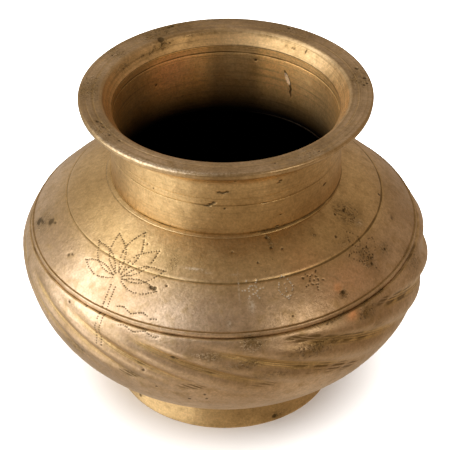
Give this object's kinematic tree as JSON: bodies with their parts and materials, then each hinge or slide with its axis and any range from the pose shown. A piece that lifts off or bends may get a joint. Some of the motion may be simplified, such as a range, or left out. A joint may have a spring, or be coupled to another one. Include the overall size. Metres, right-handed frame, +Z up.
{
  "type": "lota water pot",
  "caption": "Squat round brass water pot with spiral lobes on the bowl, a banded belt, a short collar neck, a flat turned-out rim and a plain foot ring.",
  "frame": {"origin": "centre of the foot ring's flat underside, on the surface that the pot stands on", "axes": "+Z up along the pot's axis; the pictured side, with the lotus to its left, faces -Y; +X is to the right of it"},
  "size_m": [0.1495, 0.1498, 0.1223],
  "materials": {
    "turned_brass": "lathe-turned, worn golden brass",
    "braze": "dark, tarnished braze metal",
    "bowl_brass": "aged brass with brown patina in the valleys",
    "belt_brass": "worn brass band between two cut lines",
    "shoulder_brass": "aged brass with punched ornament, pits and stains",
    "neck_brass": "lathe-turned golden brass with fine ring marks",
    "rim_brass": "dull olive-brown brass, bright where it is rubbed"
  },
  "bodies": {
    "root": {"foot_ring": "turned_brass", "foot_seam": "braze", "lower_bowl": "bowl_brass", "belt_seam": "belt_brass", "shoulder_shell": "shoulder_brass", "neck_seam": "braze", "neck_collar": "neck_brass", "rim_seam": "braze", "rim_ring": "rim_brass"}
  },
  "joints": []
}
